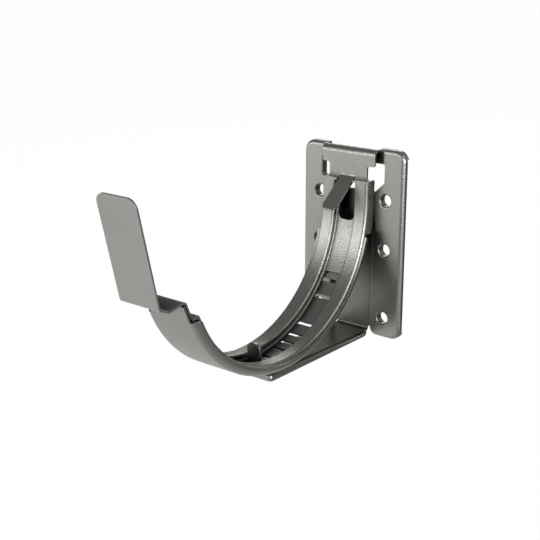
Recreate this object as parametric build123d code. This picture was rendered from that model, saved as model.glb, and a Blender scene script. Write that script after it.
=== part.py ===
from build123d import *
import os
from math import asin, cos, degrees, radians, sin, tan

# Adjustable half-round gutter bracket, millimetres.
# X runs along the gutter, Y = 0 is the wall and -Y points away from it, +Z is up.
# The origin is the middle of the four corner screw holes, on the wall.

# Screw holes of the back plate
hole_spacing_x = 43.0
hole_spacing_z = 65.0
middle_row_above_low_row = 38.0
screw_hole_d = 6.6
hole_collar_wall = 1.2
hole_lead_in = 0.9

# Back plate
plate_sheet = 1.5
plate_width = 65.4
plate_depth = 4.3
plate_above_top_row = 27.2
plate_below_low_row = 11.0
plate_corner_r = 6.0
plate_edge_r = 2.2
side_rim_trim = 1.3
side_rim_top_tab = 4.5
side_rim_foot_tab = 4.4
panel_foot_r = 5.0

# Channel pressed back to the wall between the two screw panels
channel_half_width = 13.6
channel_edge_r = 0.6
window_half_width = 20.3
window_top_above_row = 19.2
window_straight_above_row = 9.3
window_foot_above_row = 3.3
window_elbow_r = 1.8
saddle_half_width = 19.4
saddle_recess = 0.9
saddle_edge_r = 1.0

# Arm sheet and the two tangent arcs that it follows
arm_sheet = 1.2
rear_arc_r = 68.0
band_from_wall = 11.6
arc_r_step = 4.5
front_arc_deg = 67.0

# Section of the arm, with a groove between two raised bands
arm_half_width = 14.6
groove_half_width = 6.3
groove_draft = 0.25
groove_depth = 3.2
band_fold_r = 1.2
side_fold_r = 1.6
groove_foot_r = 0.8
side_flange_depth = 7.0
side_flange_mid_depth = 5.7
side_flange_low_depth = 2.4
flange_taper_above = 4.0
flange_taper_deg = 1.0
flange_taper_margin_deg = 0.6
neck_height = 7.6
band_top_r = 1.0
band_end_half_width = 13.6
band_end_depth = 4.0
band_end_deg = 1.0
band_end_r = 1.4
band_end_hole_r = 0.7

# Window along the groove floor
groove_window_half_width = 5.5
groove_window_start_deg = 33.0
groove_window_end_deg = 112.0
groove_window_corner_r = 2.2

# Hook at the top of the arm
hook_half_width = 16.9
hook_corner_r = 1.2
hook_height = 9.3
neck_half_width = 12.1
neck_corner_r = 1.5
hook_top_below_plate = 0.35
hook_front_bend_r = 3.3
hook_fall_deg = 12.0
hook_back_bend_r = 1.9
hook_leg_height = 7.2
hook_wall_gap = 0.5
hook_seat_gap = 0.3
hook_side_gap = 0.2

# Tongue that holds the rear edge of the gutter down
tongue_root_above_bands = 1.3
tongue_width = 9.3
tongue_length = 23.2
tongue_lean_deg = 50.0
tongue_end_r = 3.0
tongue_slit = 0.6
tongue_bend_r = 1.5
tongue_hole_beyond = 0.7
tongue_hole_r = 3.5

# Strap that slides round the outside of the arm
strap_sheet = 1.2
slide_clearance = 0.1
strap_side_clearance = 0.15
strap_bend_r = 2.6
strap_edge_depth = 1.3
strap_start_deg = 15.5
strap_front_deg = 66.5
strap_start_r = 1.5
strap_lip_half_width = 12.1
strap_lip_length = 9.2

# Ladder of locking slots in the strap, angles below the horizontal through the arc centre
ladder_degs = (36.7, 44.6, 59.3, 66.3, 71.7, 77.2, 84.5)
ladder_slot_length = 13.0
ladder_slot_width = 2.2
ladder_slot_r = 0.7

# Strut that carries the arm from the foot of the plate
strut_half_width = 13.0
strut_flange = 3.7
strut_flange_rear = 2.2
strut_edge_r = 2.0
strut_bend_r = 1.0
strut_above_plate_foot = 1.8
strut_beyond_key = 2.9
strut_flange_start = 6.5
strut_neck_half_width = 10.0
strut_neck_length = 6.0
strut_neck_rise = 1.9
strut_neck_r = 1.6
key_width = 8.2
key_height = 13.2
key_end_r = 3.6
key_beyond_arc = 5.5
key_clearance = 0.35

# Front clip that is bent over the gutter bead
clip_sheet = 1.0
clip_width = 24.6
clip_gap = 0.3
clip_end_gap = 0.4
clip_leg_length = 7.9
clip_ridge_width = 2.4
clip_slope_width = 7.9
clip_slope_drop = 1.75
clip_floor_width = 5.4
clip_floor_rise = 2.1
clip_tab_length = 52.2
clip_tab_lean_deg = 13.1
clip_tab_corner_r = 5.0
clip_bend_r = 0.8
clip_valley_bend_r = 1.0
clip_heel_bend_r = 1.6

# Heights and places that follow from the sizes above
low_row_z = -hole_spacing_z / 2
top_row_z = hole_spacing_z / 2
middle_row_z = low_row_z + middle_row_above_low_row
plate_top_z = top_row_z + plate_above_top_row
plate_foot_z = low_row_z - plate_below_low_row
plate_face_y = -plate_depth
channel_floor_y = -plate_sheet
window_top_z = top_row_z + window_top_above_row
window_elbow_z = top_row_z + window_straight_above_row
arc_y = -band_from_wall - rear_arc_r
band_y = -band_from_wall
hook_face_y = band_y + groove_depth
strap_inner_depth = groove_depth + arm_sheet + slide_clearance
strap_outer_depth = strap_inner_depth + strap_sheet
strut_top_z = plate_foot_z + strut_above_plate_foot
arc_centre_z = strut_top_z + strap_outer_depth + rear_arc_r
front_arc_r = rear_arc_r - arc_r_step
front_arc_z = arc_centre_z - arc_r_step
strut_neck_top_z = strut_top_z + strut_neck_rise
key_y = arc_y - key_beyond_arc
strut_length = strut_beyond_key - key_y
key_deg = degrees(asin(key_beyond_arc / (front_arc_r + strap_outer_depth)))
hook_bottom_z = plate_top_z - hook_height
band_top_z = hook_bottom_z - neck_height
tongue_root_z = band_top_z + tongue_root_above_bands
tongue_hole_end_z = tongue_root_z - tongue_length - tongue_hole_beyond
hook_leg_foot_z = plate_top_z - hook_leg_height
hook_arc_z = plate_top_z - hook_top_below_plate - hook_front_bend_r
hook_bend_rise = hook_front_bend_r * tan(radians(45 + hook_fall_deg / 2))
hook_back_y = -hook_wall_gap
hook_fall = tan(radians(hook_fall_deg))
saddle_y = plate_face_y + saddle_recess
beyond = 20.0


def box_between(low, high):
    """Box given by two opposite corners."""
    size = [b - a for a, b in zip(low, high)]
    middle = [(a + b) / 2 for a, b in zip(low, high)]
    return Pos(*middle) * Box(*size)


def sheet_section(points, radii, thickness):
    """Bent sheet seen on its edge: a filleted line, thickened to the left of its run."""
    with BuildSketch() as section:
        with BuildLine():
            FilletPolyline(*points, radius=radii)
            offset(amount=thickness, side=Side.LEFT)
        make_face()
    return section.sketch


def facing_plane(y):
    """Plane square to Y whose local axes are X and Z, with its normal towards -Y."""
    return Plane(origin=(0, y, 0), x_dir=(1, 0, 0), z_dir=(0, -1, 0))


def prism_y(face, y_front, y_back):
    """Prism of a face drawn in X and Z, from its front place to its back place in Y."""
    return extrude(facing_plane(y_back) * face, amount=y_back - y_front)


def plate_block(inset):
    """Whole plate as a block with rounded corners and front edge, drawn in by an inset."""
    height = plate_top_z - plate_foot_z
    corner_r = plate_corner_r - inset
    rim = RectangleRounded(plate_width - 2 * inset, height - 2 * inset, corner_r)
    rim = Pos(0, (plate_top_z + plate_foot_z) / 2, 0) * rim
    block = prism_y(rim, plate_face_y + inset, inset * beyond)
    return fillet(block.faces().sort_by(Axis.Y)[0].edges(), plate_edge_r - inset)


def inner_side(inset):
    """Everything on the right of the channel, the window and the saddle."""
    lean = tan(radians(45 / 2)) * inset
    inner = channel_half_width + inset
    wide = window_half_width + inset
    shoulder = saddle_half_width + inset
    elbow_z = window_elbow_z - lean
    far = plate_width
    points = [
        (inner, plate_foot_z + inset),
        (inner, top_row_z + window_foot_above_row - lean),
        (wide, elbow_z),
        (wide, window_top_z + inset),
        (shoulder, window_top_z + inset),
        (shoulder, plate_top_z + beyond),
        (far, plate_top_z + beyond),
        (far, plate_foot_z + inset),
    ]
    face = make_face(Polyline(*points, close=True))
    foot = face.vertices().group_by(Axis.Y)[0].sort_by(Axis.X)[0]
    face = fillet(foot, panel_foot_r - inset)
    elbow = face.vertices().sort_by(lambda v: abs(v.X - wide) + abs(v.Y - elbow_z))[0]
    return fillet(elbow, window_elbow_r + inset)


def panel(side):
    """Raised screw panel with its edge turned back to the wall all round."""
    outside = prism_y(inner_side(0), plate_face_y - 1, 0)
    inside = prism_y(inner_side(plate_sheet), plate_face_y, beyond)
    shell = plate_block(0) & outside
    front = shell.faces().sort_by(Axis.Y)[0]
    inner_edges = front.edges().filter_by(lambda e: e.center().X < window_half_width + 0.1)
    shell = fillet(inner_edges.filter_by(lambda e: e.center().Z > plate_foot_z + 1), channel_edge_r)
    shell -= plate_block(plate_sheet) & inside
    shell += rim_return()
    shell -= side_rim_gap()
    return shell if side > 0 else mirror(shell, Plane.YZ)


def rim_return():
    """End of the right panel's top rim, carried on over the saddle up to the hook's side."""
    reach = box_between(
        (hook_half_width + hook_side_gap, saddle_y, plate_top_z - plate_edge_r - saddle_recess),
        (saddle_half_width + plate_sheet, 0, plate_top_z),
    )
    end = plate_block(0) & reach
    return end - plate_block(plate_sheet)


def side_rim_gap():
    """Strip trimmed off the wall side of the right side rim, clear of the corners."""
    edge = plate_width / 2
    return box_between(
        (edge - 1.3 * plate_sheet, -side_rim_trim, plate_foot_z + side_rim_foot_tab),
        (edge + plate_sheet, beyond, plate_top_z - side_rim_top_tab),
    )


def screw_points():
    """X and Z of the six screw holes."""
    rows = (low_row_z, middle_row_z, top_row_z)
    columns = (-hole_spacing_x / 2, hole_spacing_x / 2)
    return [(x, z) for z in rows for x in columns]


def collar(x, z):
    """Drawn collar round a screw hole, from the face to the wall."""
    ring = Pos(x, z, 0) * Circle(screw_hole_d / 2 + hole_collar_wall)
    return prism_y(ring, plate_face_y + plate_sheet / 2, 0)


def screw_hole(x, z):
    """Cutter for a screw hole with a rolled lead-in."""
    bore_r = screw_hole_d / 2
    mouth_r = bore_r + hole_lead_in
    bore = prism_y(Pos(x, z, 0) * Circle(bore_r), plate_face_y - 1, 1)
    mouth = prism_y(Pos(x, z, 0) * Circle(mouth_r), plate_face_y, plate_face_y + hole_lead_in)
    lead = Pos(x, plate_face_y + hole_lead_in, z) * Rot(90, 0, 0) * Torus(mouth_r, hole_lead_in)
    return bore + (mouth - lead)


def channel_floor():
    """Floor of the channel, against the wall."""
    return box_between(
        (-channel_half_width - plate_sheet / 2, channel_floor_y, plate_foot_z + panel_foot_r),
        (channel_half_width + plate_sheet / 2, 0, top_row_z + window_foot_above_row),
    )


def flange_end():
    """Cutter that rounds the rear ends of the strut's flanges up to its top."""
    r = strut_flange_rear
    corner = box_between(
        (strut_neck_half_width, -strut_neck_length - r, strut_top_z - strut_flange),
        (strut_half_width + 1, 0, strut_top_z),
    )
    barrel = Rot(0, 90, 0) * Cylinder(r, 4 * strut_half_width)
    corner -= Pos(0, -strut_neck_length - r, strut_top_z) * barrel
    return corner + mirror(corner, Plane.YZ)


def neck_relief(side):
    """Notch beside the neck where the strut bends out of the channel floor."""
    low_x, high_x = sorted((side * strut_neck_half_width, side * channel_half_width))
    notch = box_between(
        (low_x, -strut_neck_length, strut_top_z - beyond),
        (high_x, beyond, strut_neck_top_z),
    )
    inner = [e for e in notch.edges() if abs(e.center().X) < strut_neck_half_width + 0.01]
    top = [e for e in inner if e.center().Z > strut_neck_top_z - 0.01]
    return fillet(top, strut_neck_r)


def saddle():
    """Recessed bridge between the panels that the hook sits on."""
    inner_top_z = hook_top_at(saddle_y + plate_sheet) - arm_sheet / cos(radians(hook_fall_deg))
    bridge = box_between(
        (-saddle_half_width - plate_sheet / 2, saddle_y, window_top_z),
        (saddle_half_width + plate_sheet / 2, saddle_y + plate_sheet, inner_top_z - hook_seat_gap),
    )
    top_front = bridge.edges().filter_by(Axis.X).group_by(Axis.Z)[-1].sort_by(Axis.Y)[0]
    return fillet(top_front, saddle_edge_r)


def hook_top_at(y):
    """Height of the hook's falling top face at a distance from the wall."""
    return hook_arc_z + hook_bend_rise - hook_fall * (y - hook_face_y)


def strut_tray():
    """Strut with its flanges and front lip turned down."""
    foot_z = strut_top_z - strut_flange
    tray = box_between(
        (-strut_half_width, -strut_length, foot_z),
        (strut_half_width, -strut_flange_start, strut_top_z),
    )
    tray = fillet(tray.faces().sort_by(Axis.Y)[0].edges().filter_by(Axis.Z), strut_edge_r)
    rims = tray.faces().sort_by(Axis.Z)[-1].edges().sort_by(Axis.Y)[:-1]
    tray = fillet(rims, strut_edge_r)
    side = strut_half_width - plate_sheet
    front = -strut_length + plate_sheet
    hollow = box_between((-side, front, foot_z - 1), (side, beyond, strut_top_z - plate_sheet))
    hollow = fillet(hollow.edges().filter_by(Axis.Z).sort_by(Axis.Y)[:2], strut_edge_r - plate_sheet)
    rear = foot_z + strut_flange - strut_flange_rear
    under = Polyline(
        (-strut_length + strut_edge_r, foot_z),
        (-strut_flange_start, rear),
        (beyond, rear),
        (beyond, foot_z - beyond),
        (-strut_length + strut_edge_r, foot_z - beyond),
        close=True,
    )
    taper = extrude(Plane.YZ * make_face(under), amount=strut_half_width + 1, both=True)
    return tray - hollow - taper


def strut_bend():
    """Foot of the channel floor, bent forward into the strut's web."""
    points = [
        (channel_floor_y, plate_foot_z + panel_foot_r + plate_sheet),
        (channel_floor_y, strut_top_z),
        (-strut_flange_start - strut_edge_r, strut_top_z),
    ]
    line = sheet_section(points, strut_bend_r, plate_sheet)
    return extrude(Plane.YZ * line, amount=strut_half_width, both=True)


def key():
    """Upright key lanced out of the strut."""
    height = key_height + plate_sheet
    face = Rectangle(key_width, height)
    face = fillet(face.vertices().group_by(Axis.Y)[-1], key_end_r)
    face = Pos(0, strut_top_z - plate_sheet + height / 2, 0) * face
    return prism_y(face, key_y - plate_sheet / 2, key_y + plate_sheet / 2)


def key_hole():
    """Hole that the key was lanced from, on its wall side."""
    half = key_width / 2 + key_clearance
    start = key_y + plate_sheet / 2
    hole = box_between(
        (-half, start, strut_top_z - beyond / 2),
        (half, start + key_height, strut_top_z + beyond / 2),
    )
    return fillet(hole.edges().filter_by(Axis.Z).sort_by(Axis.Y)[-2:], key_end_r)


def back_plate():
    """Wall plate with its channel, saddle and strut, pressed from one sheet."""
    plate = panel(-1) + panel(1) + channel_floor() + saddle()
    for x, z in screw_points():
        plate += collar(x, z)
    for x, z in screw_points():
        plate -= screw_hole(x, z)
    plate += strut_bend() + strut_tray()
    for side in (-1, 1):
        plate -= neck_relief(side)
    plate -= flange_end() + key_hole()
    return plate + key()


def rear_plane():
    """Section plane at the top end of the arcs: local X and depth away from the gutter."""
    return Plane(origin=(0, band_y, arc_centre_z), x_dir=(1, 0, 0), z_dir=(0, 0, 1))


def low_plane():
    """Section plane at the lowest point, where the two arcs meet."""
    origin = (0, arc_y, arc_centre_z - rear_arc_r)
    return Plane(origin=origin, x_dir=(1, 0, 0), z_dir=(0, 1, 0))


def rear_axis():
    """Axis of the rear arc, turning from the top end down towards the front."""
    return Axis((0, arc_y, arc_centre_z), (-1, 0, 0))


def front_axis():
    """Axis of the front arc."""
    return Axis((0, arc_y, front_arc_z), (-1, 0, 0))


def along_arcs(section, start_deg, front_deg):
    """Solid of a section carried round both arcs."""
    rear = rear_plane() * section
    rear = rear.rotate(rear_axis(), start_deg)
    rear = revolve(rear, rear_axis(), 90 - start_deg)
    front = revolve(low_plane() * section, front_axis(), front_deg)
    return rear + front


def arm_section():
    """Section of the arm sheet, with the groove between its bands and two side flanges."""
    side = arm_half_width
    groove = groove_half_width
    mouth = groove + groove_draft
    points = [
        (-side, side_flange_depth),
        (-side, 0),
        (-mouth, 0),
        (-groove, groove_depth),
        (groove, groove_depth),
        (mouth, 0),
        (side, 0),
        (side, side_flange_depth),
    ]
    folds = [side_fold_r, band_fold_r, groove_foot_r, groove_foot_r, band_fold_r, side_fold_r]
    return sheet_section(points, folds, arm_sheet)


def strap_section():
    """Section of the strap, a shallow channel round the outside of the arm."""
    side = arm_half_width + strap_side_clearance
    points = [
        (-side, strap_edge_depth),
        (-side, strap_inner_depth),
        (side, strap_inner_depth),
        (side, strap_edge_depth),
    ]
    return sheet_section(points, [strap_bend_r, strap_bend_r], strap_sheet)


def arc_point(depth, degree):
    """Y and Z at a depth outside the rear arc, at an angle below its top end."""
    reach = rear_arc_r + depth
    angle = radians(degree)
    return arc_y + reach * cos(angle), arc_centre_z - reach * sin(angle)


def ring_section(low_x, high_x, low_depth, high_depth):
    """Rectangle in the section plane between two widths and two depths."""
    middle = Pos((low_x + high_x) / 2, (low_depth + high_depth) / 2, 0)
    return middle * Rectangle(high_x - low_x, high_depth - low_depth)


def flange_trim():
    """Cutters that narrow the side flanges down to the depth that fits inside the strap."""
    full_deg = strap_start_deg - flange_taper_margin_deg
    top = (band_y + side_flange_depth, arc_centre_z + flange_taper_above)
    middle = arc_point(side_flange_mid_depth, full_deg - flange_taper_deg)
    low = arc_point(side_flange_low_depth, full_deg)
    far = arc_point(beyond, full_deg)
    start = Vector(0, -1)
    end = Vector(*arc_point(0, full_deg + 90)) - Vector(arc_y, arc_centre_z)
    edge = Spline(top, middle, low, tangents=[start, end.normalized()])
    close = Polyline(low, far, (far[0] + beyond, top[1]), top)
    face = Plane.YZ * make_face(edge + close)
    inner_x = arm_half_width - arm_sheet - side_fold_r / 4
    ring = ring_section(inner_x, inner_x + beyond, side_flange_low_depth, beyond)
    right = Pos(inner_x, 0, 0) * extrude(face, amount=beyond)
    right += along_arcs(ring, full_deg, front_arc_deg + 5)
    return right + mirror(right, Plane.YZ)


def radial_edges(solid):
    """Straight edges that lie square to the gutter's length."""
    lines = solid.edges().filter_by(GeomType.LINE)
    return lines.filter_by(lambda edge: abs(edge.tangent_at(0).X) < 0.01)


def groove_window():
    """Cutter for the long window in the groove floor, with rounded ends."""
    half = groove_window_half_width
    cut = ring_section(-half, half, groove_depth - 1, groove_depth + arm_sheet + 1)
    rear = (rear_plane() * cut).rotate(rear_axis(), groove_window_start_deg)
    rear = revolve(rear, rear_axis(), 90 - groove_window_start_deg)
    rear = fillet(radial_edges(rear).sort_by(Axis.Z)[-2:], groove_window_corner_r)
    front = revolve(low_plane() * cut, front_axis(), groove_window_end_deg - 90)
    front = fillet(radial_edges(front).sort_by(Axis.Y)[:2], groove_window_corner_r)
    return rear + front


def band_tops():
    """Short wall that closes the tops of the bands, up to the neck."""
    wall = box_between(
        (-arm_half_width, band_y, band_top_z - arm_sheet),
        (arm_half_width, hook_face_y + arm_sheet, band_top_z),
    )
    wall = fillet(wall.edges().filter_by(Axis.Y).group_by(Axis.Z)[-1], band_top_r)
    return fillet(wall.faces().sort_by(Axis.Y)[0].edges().sort_by(Axis.Z)[-1], band_top_r / 2)


def band_end():
    """Wall that closes the front end of the right band, with a small drain hole."""
    low, high = arm_sheet / 2, band_end_depth
    wall = ring_section(groove_half_width, band_end_half_width, low, high)
    corner = wall.vertices().group_by(Axis.Y)[-1].sort_by(Axis.X)[-1]
    wall = fillet(corner, band_end_r)
    middle = (groove_half_width + band_end_half_width) / 2
    wall -= Pos(middle, arm_sheet + (high - arm_sheet) / 2) * Circle(band_end_hole_r)
    start = (low_plane() * wall).rotate(front_axis(), front_arc_deg - band_end_deg)
    return revolve(start, front_axis(), band_end_deg)


def neck():
    """Neck between the bands and the hook plate, with rounded inner corners."""
    height = hook_bottom_z - band_top_z
    face = Pos(0, band_top_z + height / 2) * Rectangle(
        2 * neck_half_width, height + 2 * arm_sheet
    )
    for side in (-1, 1):
        for corner_z, up in ((band_top_z, 1), (hook_bottom_z, -1)):
            r = neck_corner_r
            web = Pos(side * (neck_half_width + r / 2), corner_z + up * r / 2) * Rectangle(r, r)
            web -= Pos(side * (neck_half_width + r), corner_z + up * r) * Circle(r)
            face += web
    return prism_y(face, hook_face_y, hook_face_y + arm_sheet)


def hook():
    """Hook plate, bent over the saddle with a short leg behind it."""
    points = [
        (hook_back_y, hook_leg_foot_z),
        (hook_back_y, hook_top_at(hook_back_y)),
        (hook_face_y, hook_arc_z + hook_bend_rise),
        (hook_face_y, hook_bottom_z),
    ]
    line = sheet_section(points, [hook_back_bend_r, hook_front_bend_r], arm_sheet)
    bent = extrude(Plane.YZ * line, amount=hook_half_width, both=True)
    foot = bent.edges().filter_by(Axis.Y).group_by(Axis.Z)[0]
    return fillet(foot, hook_corner_r)


def tongue_hole():
    """Hole that the tongue was lanced from, open through the band tops, with a rounded foot."""
    half = tongue_width / 2 + tongue_slit
    hole = box_between(
        (-half, band_y - 1, tongue_hole_end_z),
        (half, hook_face_y + arm_sheet + groove_depth, tongue_root_z),
    )
    return fillet(hole.edges().filter_by(Axis.Y).group_by(Axis.Z)[0], tongue_hole_r)


def tongue():
    """Tongue bent out of the groove towards the gutter's rear edge."""
    lean = radians(tongue_lean_deg)
    end = (
        hook_face_y - tongue_length * sin(lean),
        tongue_root_z - tongue_length * cos(lean),
    )
    points = [(hook_face_y, tongue_root_z + arm_sheet), (hook_face_y, tongue_root_z), end]
    line = sheet_section(points, tongue_bend_r, arm_sheet)
    sheet = extrude(Plane.YZ * line, amount=tongue_width / 2, both=True)
    return fillet(radial_edges(sheet).sort_by(Axis.Y)[:2], tongue_end_r)


def support_arm():
    """Hooked arm with its groove, flanges, window and tongue, bent from one sheet."""
    section = arm_section()
    straight = extrude(rear_plane() * section, amount=band_top_z - arc_centre_z)
    arm = along_arcs(section, 0, front_arc_deg) + straight
    arm -= flange_trim()
    arm += band_tops() + band_end() + mirror(band_end(), Plane.YZ) + neck() + hook()
    arm -= groove_window() + tongue_hole()
    return arm + tongue()


def ladder_slot(centre_z, arc_r, degree):
    """Cutter for one locking slot of the strap, square to its web."""
    slot = Box(ladder_slot_length, 4 * strap_sheet, ladder_slot_width)
    slot = fillet(slot.edges().filter_by(Axis.Y), ladder_slot_r)
    slot = Pos(0, arc_r + strap_outer_depth - strap_sheet / 2, 0) * slot
    return Pos(0, arc_y, centre_z) * Rot(-degree, 0, 0) * slot


def strap_lip():
    """Narrow straight lip that carries on from the front end of the strap's web."""
    half = strap_lip_half_width
    web = ring_section(-half, half, strap_inner_depth, strap_outer_depth)
    start = (low_plane() * web).rotate(front_axis(), strap_front_deg)
    return extrude(start, amount=strap_lip_length, dir=front_tangent())


def front_tangent():
    """Direction in which the strap leaves the front end of its arc."""
    angle = radians(strap_front_deg)
    return Vector(0, -cos(angle), sin(angle))


def slide_strap():
    """Strap that slides round the outside of the arm, with its ladder of slots."""
    strap = along_arcs(strap_section(), strap_start_deg, strap_front_deg)
    ends = strap.edges().filter_by(Axis.X).filter_by(lambda e: abs(e.length - strap_sheet) < 0.01)
    strap = fillet(ends.sort_by(Axis.Z)[-4:].sort_by(Axis.Y)[:2], strap_start_r)
    strap += strap_lip()
    for degree in ladder_degs:
        strap -= ladder_slot(arc_centre_z, rear_arc_r, degree)
    return strap - ladder_slot(front_arc_z, front_arc_r, 90 + key_deg)


def lip_point(depth, along):
    """Y and Z of a point beside the strap's lip, along it from the end of the arc."""
    angle = radians(strap_front_deg)
    reach = front_arc_r + depth
    y = arc_y - reach * sin(angle) - along * cos(angle)
    z = front_arc_z - reach * cos(angle) + along * sin(angle)
    return y, z


def front_clip():
    """Clip hooked over the strap's lip, with a valley and a tall flat tab."""
    inner = strap_inner_depth - clip_gap - clip_sheet
    foot = lip_point(inner, strap_lip_length - clip_leg_length)
    ridge = lip_point(inner, strap_lip_length + clip_end_gap + clip_sheet)
    crest = (ridge[0] - clip_ridge_width, ridge[1])
    low = (crest[0] - clip_slope_width, crest[1] - clip_slope_drop)
    heel = (low[0] - clip_floor_width, low[1] + clip_floor_rise)
    lean = radians(clip_tab_lean_deg)
    tip = (heel[0] - clip_tab_length * sin(lean), heel[1] + clip_tab_length * cos(lean))
    points = [foot, ridge, crest, low, heel, tip]
    over = clip_bend_r + clip_sheet
    bends = [over, over, clip_valley_bend_r, clip_heel_bend_r]
    line = sheet_section(points, bends, clip_sheet)
    clip = extrude(Plane.YZ * line, amount=clip_width / 2, both=True)
    return fillet(radial_edges(clip).sort_by(Axis.Z)[-2:], clip_tab_corner_r)


def main():
    os.makedirs("parts", exist_ok=True)
    export_step(back_plate(), "parts/back_plate.step")
    export_step(support_arm(), "parts/support_arm.step")
    export_step(slide_strap(), "parts/slide_strap.step")
    export_step(front_clip(), "parts/front_clip.step")


if __name__ == "__main__":
    main()
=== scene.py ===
import bpy
from math import cos, pi, radians, sin, tan
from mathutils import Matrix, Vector


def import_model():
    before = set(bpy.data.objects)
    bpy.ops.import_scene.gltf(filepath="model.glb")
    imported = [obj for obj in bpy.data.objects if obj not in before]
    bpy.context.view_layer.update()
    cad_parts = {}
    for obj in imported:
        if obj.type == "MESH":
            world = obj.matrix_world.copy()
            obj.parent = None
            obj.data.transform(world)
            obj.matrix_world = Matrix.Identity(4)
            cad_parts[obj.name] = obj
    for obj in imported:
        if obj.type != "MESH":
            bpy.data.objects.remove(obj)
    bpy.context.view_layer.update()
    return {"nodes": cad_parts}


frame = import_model()

# Steel colours, as linear red, green and blue
pale = (0.475, 0.468, 0.440)
soft = (0.430, 0.423, 0.398)
mid = (0.395, 0.389, 0.366)
dim = (0.355, 0.349, 0.329)
blue_cut = (0.56, 0.64, 0.73)

# Zinc coat: pattern scales per metre, and the part of the clouds that is spread to a full tone
cloud_scale = 28.0
cloud_detail = 4.0
cloud_roughness = 0.55
cloud_spread = (0.3, 0.7)
speckle_scale = 1450.0
speckle_detail = 1.0
speckle_roughness = 0.5
speckle_share = 0.5

# Edges, where the widely rounded normal leaves the face's own, lightened as wear and painted
# highlight, and recesses, darkened by openness as painted shade
bevel_samples = 4
edge_match = (0.995, 0.8)
recess_samples = 12
recess_reach = 0.045

# Finish shared by all the sheets, with the painted highlight on edges and the painted shade in
# recesses, lengths in metres
metallic = 1.0
wear_and_highlight_share = 0.45
wear_and_highlight_gain = 1.4
painted_shade_gain = 0.12
rough_swing = 0.04
grain_height = 0.0003
usual_rounding = 0.00022
wear_and_highlight_per_rounding = 2.0
usual_span = (0.85, 0.3)
cut_facing = (0.7, 0.9)

# Floor, metres and shares of white
floor_height = -0.13
floor_half = 6.0
floor_white = 0.8
camera_share = 0.94
mirrored_x = (-0.2, 0.6)
mirrored_greys = ((0.1, 0.76), (0.45, 0.24), (0.55, 0.24), (1.0, 0.38))
mirrored_y = (0.0, 0.2)
mirrored_behind = 0.3

# Surround, with its strength on the floor and in reflections
surround = 0.9
surround_mirrored = 0.19

# Camera, solved from the screw holes and the straight edges of the plate
lens_mm = 71.57
sensor_mm = 36.0
camera_near = 0.01
camera_place = (0.32852, -0.46493, 0.15951)
camera_down = 0.290795
camera_turn = 0.697490

# Softboxes: name, turn from straight ahead and height in degrees, size in metres, glow
aim = (0.0, -0.07, 0.01)
softbox_distance = 1.4
softboxes = (
    ("left softbox", -50, 9, (1.2, 0.42), 1.55),
    ("front softbox", -13, 21, (1.5, 0.6), 1.46),
    ("right softbox", 66, 10, (1.35, 0.65), 4.6),
    ("high softbox", 92, 46, (0.75, 0.6), 1.1),
    ("rear softbox", -151, 28, (0.45, 0.32), 3.9),
    ("back softbox", 176, 10, (1.2, 0.7), 0.6),
)


# Node helpers

# Slots of the two colours on a colour mix node
colour_a, colour_b = 6, 7


def new_group(name, inputs, outputs):
    """Shader node group with float inputs and given outputs, and its two end nodes."""
    group = bpy.data.node_groups.new(name, "ShaderNodeTree")
    for label, default in inputs:
        socket = group.interface.new_socket(
            name=label, in_out="INPUT", socket_type="NodeSocketFloat"
        )
        socket.default_value = default
    for label, kind in outputs:
        group.interface.new_socket(name=label, in_out="OUTPUT", socket_type=kind)
    start = group.nodes.new("NodeGroupInput")
    end = group.nodes.new("NodeGroupOutput")
    return group, start, end


def add(tree, kind, **settings):
    """Node of a kind with its properties set."""
    node = tree.nodes.new(kind)
    for key, value in settings.items():
        setattr(node, key, value)
    return node


def math(tree, operation, first, second=None):
    """Math node with each side a socket or a number."""
    node = add(tree, "ShaderNodeMath", operation=operation)
    for slot, value in enumerate((first, second)):
        if value is None:
            continue
        if isinstance(value, (int, float)):
            node.inputs[slot].default_value = value
        else:
            tree.links.new(value, node.inputs[slot])
    return node.outputs[0]


def remap(tree, value, from_low, from_high, to_low, to_high):
    """Clamped change of range."""
    node = add(tree, "ShaderNodeMapRange", clamp=True)
    tree.links.new(value, node.inputs["Value"])
    ends = {"From Min": from_low, "From Max": from_high, "To Min": to_low, "To Max": to_high}
    for label, number in ends.items():
        node.inputs[label].default_value = number
    return node.outputs["Result"]


def blend(tree, share, first, second):
    """Mix by the share from the first colour, a socket or numbers, to the second, numbers."""
    node = add(tree, "ShaderNodeMix", data_type="RGBA")
    tree.links.new(share, node.inputs["Factor"])
    if isinstance(first, tuple):
        node.inputs[colour_a].default_value = (*first, 1.0)
    else:
        tree.links.new(first, node.inputs[colour_a])
    node.inputs[colour_b].default_value = (*second, 1.0)
    return node.outputs["Result"]


def noise(tree, vector, scale, detail, roughness):
    """Noise pattern on a vector, with its scale a socket."""
    node = add(tree, "ShaderNodeTexNoise")
    node.inputs["Detail"].default_value = detail
    node.inputs["Roughness"].default_value = roughness
    tree.links.new(vector, node.inputs["Vector"])
    tree.links.new(scale, node.inputs["Scale"])
    return node.outputs["Fac"]


def grey_ramp(tree, share, stops):
    """Greys that follow a share from 0 to 1, between stops given from low to high."""
    node = add(tree, "ShaderNodeValToRGB")
    elements = node.color_ramp.elements
    for place, _ in stops[1:-1]:
        elements.new(place)
    for element, (place, grey) in zip(elements, stops):
        element.position = place
        element.color = (grey, grey, grey, 1.0)
    tree.links.new(share, node.inputs["Fac"])
    return node.outputs["Color"]


def mix_shaders(tree, share, first, second):
    """Shader that goes from the first to the second by the share."""
    node = add(tree, "ShaderNodeMixShader")
    tree.links.new(share, node.inputs["Fac"])
    tree.links.new(first, node.inputs[1])
    tree.links.new(second, node.inputs[2])
    return node.outputs["Shader"]


# Shared effects of zinc-coated sheet

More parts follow.
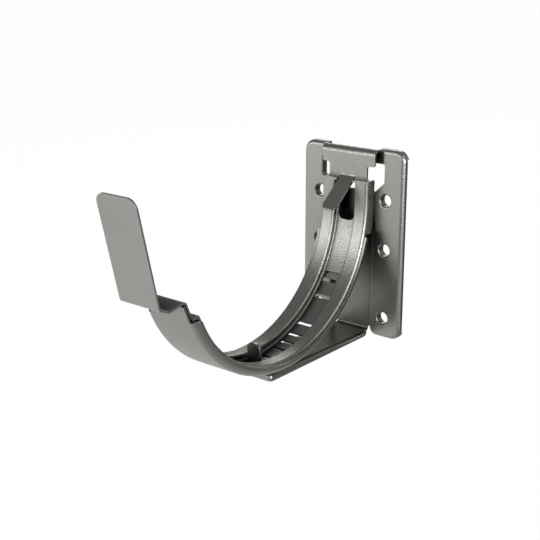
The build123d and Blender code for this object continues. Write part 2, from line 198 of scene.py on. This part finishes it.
def zinc_coat():
    """Soft clouds and fine speckle of a zinc coat, as a tone from 0 to 1 and a grain height."""
    group, start, end = new_group(
        "zinc coat",
        [
            ("Cloud Scale", cloud_scale),
            ("Speckle Scale", speckle_scale),
            ("Speckle", speckle_share),
        ],
        [("Tone", "NodeSocketFloat"), ("Grain", "NodeSocketFloat")],
    )
    place = add(group, "ShaderNodeTexCoord").outputs["Object"]
    clouds = noise(group, place, start.outputs["Cloud Scale"], cloud_detail, cloud_roughness)
    fine = noise(
        group, place, start.outputs["Speckle Scale"], speckle_detail, speckle_roughness
    )
    clouded = remap(group, clouds, *cloud_spread, 0.0, 1.0)
    share = start.outputs["Speckle"]
    tone = math(
        group, "ADD",
        math(group, "MULTIPLY", clouded, math(group, "SUBTRACT", 1.0, share)),
        math(group, "MULTIPLY", fine, share),
    )
    group.links.new(tone, end.inputs["Tone"])
    group.links.new(fine, end.inputs["Grain"])
    return group


def sheet_edges():
    """Rounding of the sheet's cut edges and folds, and a mask of where they are rubbed bright and
    carry a painted highlight.
    """
    group, start, end = new_group(
        "sheet edges",
        [("Radius", usual_rounding), ("Wear And Highlight Radius", wear_and_highlight_per_rounding * usual_rounding)],
        [("Edge", "NodeSocketFloat"), ("Rounded", "NodeSocketVector")],
    )
    rounded = add(group, "ShaderNodeBevel", samples=bevel_samples)
    group.links.new(start.outputs["Radius"], rounded.inputs["Radius"])
    wide = add(group, "ShaderNodeBevel", samples=bevel_samples)
    group.links.new(start.outputs["Wear And Highlight Radius"], wide.inputs["Radius"])
    true_normal = add(group, "ShaderNodeNewGeometry").outputs["Normal"]
    match = add(group, "ShaderNodeVectorMath", operation="DOT_PRODUCT")
    group.links.new(wide.outputs["Normal"], match.inputs[0])
    group.links.new(true_normal, match.inputs[1])
    edge = remap(group, match.outputs["Value"], *edge_match, 0.0, 1.0)
    group.links.new(edge, end.inputs["Edge"])
    group.links.new(rounded.outputs["Normal"], end.inputs["Rounded"])
    return group


def painted_recess_shade():
    """Mask of painted shade in the folds and gaps, stronger the less open they are."""
    group, start, end = new_group(
        "painted recess shade",
        [("Reach", recess_reach), ("Open", usual_span[0]), ("Closed", usual_span[1])],
        [("Recess", "NodeSocketFloat")],
    )
    shade = add(group, "ShaderNodeAmbientOcclusion", samples=recess_samples)
    group.links.new(start.outputs["Reach"], shade.inputs["Distance"])
    span = math(group, "SUBTRACT", start.outputs["Open"], start.outputs["Closed"])
    below = math(group, "SUBTRACT", start.outputs["Open"], shade.outputs["AO"])
    depth = math(group, "DIVIDE", below, span)
    group.links.new(remap(group, depth, 0.0, 1.0, 0.0, 1.0), end.inputs["Recess"])
    return group


coat_group = zinc_coat()
edge_group = sheet_edges()
painted_shade_group = painted_recess_shade()


def steel(name, light, dark, rough, grain, shade,
          span=usual_span, rounding=usual_rounding, cut=None):
    """Satin zinc-coated steel, mottled between two greys, with a fine grain.

    Its edges are brighter, as wear and painted highlight, its recesses darker by the painted
    shade over the span of openness, and the faces cut square to X take the cut colour, where one
    is given.
    """
    material = bpy.data.materials.new(name)
    material.use_nodes = True
    tree = material.node_tree
    shader = tree.nodes["Principled BSDF"]
    shader.inputs["Metallic"].default_value = metallic

    coat = add(tree, "ShaderNodeGroup", node_tree=coat_group)
    edges = add(tree, "ShaderNodeGroup", node_tree=edge_group)
    edges.inputs["Radius"].default_value = rounding
    edges.inputs["Wear And Highlight Radius"].default_value = wear_and_highlight_per_rounding * rounding
    recess = add(tree, "ShaderNodeGroup", node_tree=painted_shade_group)
    recess.inputs["Open"].default_value, recess.inputs["Closed"].default_value = span

    tone = blend(tree, coat.outputs["Tone"], dark, light)
    if cut:
        side = add(tree, "ShaderNodeSeparateXYZ")
        tree.links.new(add(tree, "ShaderNodeTexCoord").outputs["Normal"], side.inputs["Vector"])
        facing = remap(tree, math(tree, "ABSOLUTE", side.outputs["X"]), *cut_facing, 0.0, 1.0)
        tone = blend(tree, facing, tone, cut)
    # Edges lightened towards a brighter grey, partly wear and partly a painted highlight on folds
    # and rims
    wear_and_highlight = math(tree, "MULTIPLY", edges.outputs["Edge"], wear_and_highlight_share)
    tone = blend(tree, wear_and_highlight, tone, [wear_and_highlight_gain * channel for channel in light])
    # Recesses darkened towards a near-black grey by the occlusion mask: painted shade
    painted_shade = math(tree, "MULTIPLY", recess.outputs["Recess"], shade)
    tone = blend(tree, painted_shade, tone, [painted_shade_gain * channel for channel in dark])
    tree.links.new(tone, shader.inputs["Base Color"])

    spread = remap(
        tree, coat.outputs["Tone"], 0.0, 1.0, rough + rough_swing, rough - rough_swing
    )
    tree.links.new(spread, shader.inputs["Roughness"])

    bump = add(tree, "ShaderNodeBump")
    bump.inputs["Strength"].default_value = grain
    bump.inputs["Distance"].default_value = grain_height
    tree.links.new(coat.outputs["Grain"], bump.inputs["Height"])
    tree.links.new(edges.outputs["Rounded"], bump.inputs["Normal"])
    tree.links.new(bump.outputs["Normal"], shader.inputs["Normal"])
    return material


def dress(node, material):
    """Give a CAD node its one material."""
    mesh = frame["nodes"][node].data
    mesh.materials.clear()
    mesh.materials.append(material)


dress("back_plate", steel(
    "plate steel", pale, mid, rough=0.30, grain=0.42, shade=0.9, span=(0.85, 0.2),
    rounding=0.0003,
))
dress("support_arm", steel("arm steel", pale, mid, rough=0.29, grain=0.5, shade=0.9))
dress("slide_strap", steel("strap steel", soft, dim, rough=0.31, grain=0.5, shade=0.8))
dress("front_clip", steel(
    "clip steel", pale, mid, rough=0.32, grain=0.4, shade=1.0, span=(1.0, 0.66), cut=blue_cut,
))


# Stage, light and camera

def floor_material():
    """Floor that is white to the camera but for a soft shadow, and greyer in reflections.

    In reflections it darkens to the right and behind, which gives the steel its contrast.
    """
    material = bpy.data.materials.new("pale floor")
    material.use_nodes = True
    tree = material.node_tree
    tree.nodes.remove(tree.nodes["Principled BSDF"])
    path = add(tree, "ShaderNodeLightPath")
    matt = add(tree, "ShaderNodeBsdfDiffuse")
    matt.inputs["Color"].default_value = (floor_white, floor_white, floor_white, 1.0)

    across = add(tree, "ShaderNodeSeparateXYZ")
    tree.links.new(add(tree, "ShaderNodeTexCoord").outputs["Object"], across.inputs["Vector"])
    rightward = remap(tree, across.outputs["X"], *mirrored_x, 0.0, 1.0)
    backward = remap(tree, across.outputs["Y"], *mirrored_y, 1.0, mirrored_behind)
    mirrored = add(tree, "ShaderNodeEmission")
    tree.links.new(grey_ramp(tree, rightward, mirrored_greys), mirrored.inputs["Color"])
    tree.links.new(backward, mirrored.inputs["Strength"])
    lit = mix_shaders(
        tree, path.outputs["Is Glossy Ray"], matt.outputs["BSDF"], mirrored.outputs["Emission"]
    )

    white = add(tree, "ShaderNodeEmission")
    white.inputs["Strength"].default_value = 1.0
    seen = math(tree, "MULTIPLY", path.outputs["Is Camera Ray"], camera_share)
    surface = mix_shaders(tree, seen, lit, white.outputs["Emission"])
    tree.links.new(surface, tree.nodes["Material Output"].inputs["Surface"])
    return material


def floor():
    """Wide flat floor below the bracket."""
    mesh = bpy.data.meshes.new("floor")
    turns = ((-1, -1), (1, -1), (1, 1), (-1, 1))
    corners = [(x * floor_half, y * floor_half, floor_height) for x, y in turns]
    mesh.from_pydata(corners, [], [(0, 1, 2, 3)])
    mesh.materials.append(floor_material())
    piece = bpy.data.objects.new("floor", mesh)
    bpy.context.scene.collection.objects.link(piece)


def world():
    """Surround that is white to the camera, pale for the floor and dim in reflections."""
    sky = bpy.data.worlds.new("studio")
    bpy.context.scene.world = sky
    sky.use_nodes = True
    tree = sky.node_tree
    back = tree.nodes["Background"]
    path = add(tree, "ShaderNodeLightPath")
    lit = remap(tree, path.outputs["Is Camera Ray"], 0.0, 1.0, surround, 1.0)
    mirrored = remap(
        tree, path.outputs["Is Glossy Ray"], 0.0, 1.0, 1.0, surround_mirrored / surround
    )
    back.inputs["Color"].default_value = (1.0, 1.0, 1.0, 1.0)
    tree.links.new(math(tree, "MULTIPLY", lit, mirrored), back.inputs["Strength"])


def softbox(name, turn, height, size, glow):
    """Rectangular area lamp that faces the bracket and stays out of the camera's sight."""
    lamp = bpy.data.lights.new(name, "AREA")
    lamp.shape = "RECTANGLE"
    lamp.size, lamp.size_y = size
    lamp.energy = glow * pi * size[0] * size[1]
    turn, height = radians(turn), radians(height)
    out = Vector((sin(turn), -cos(turn), tan(height))).normalized()
    holder = bpy.data.objects.new(name, lamp)
    holder.location = Vector(aim) + softbox_distance * out
    holder.rotation_euler = (-out).to_track_quat("-Z", "Y").to_euler()
    holder.visible_camera = False
    bpy.context.scene.collection.objects.link(holder)


def camera():
    """Camera at the photograph's place."""
    lens = bpy.data.cameras.new("camera")
    lens.lens = lens_mm
    lens.sensor_width = sensor_mm
    lens.clip_start = camera_near
    holder = bpy.data.objects.new("camera", lens)
    holder.location = camera_place
    holder.rotation_euler = (pi / 2 - camera_down, 0.0, camera_turn)
    bpy.context.scene.collection.objects.link(holder)
    bpy.context.scene.camera = holder


floor()
world()
for box in softboxes:
    softbox(*box)
camera()

bpy.context.scene.view_settings.view_transform = "Standard"
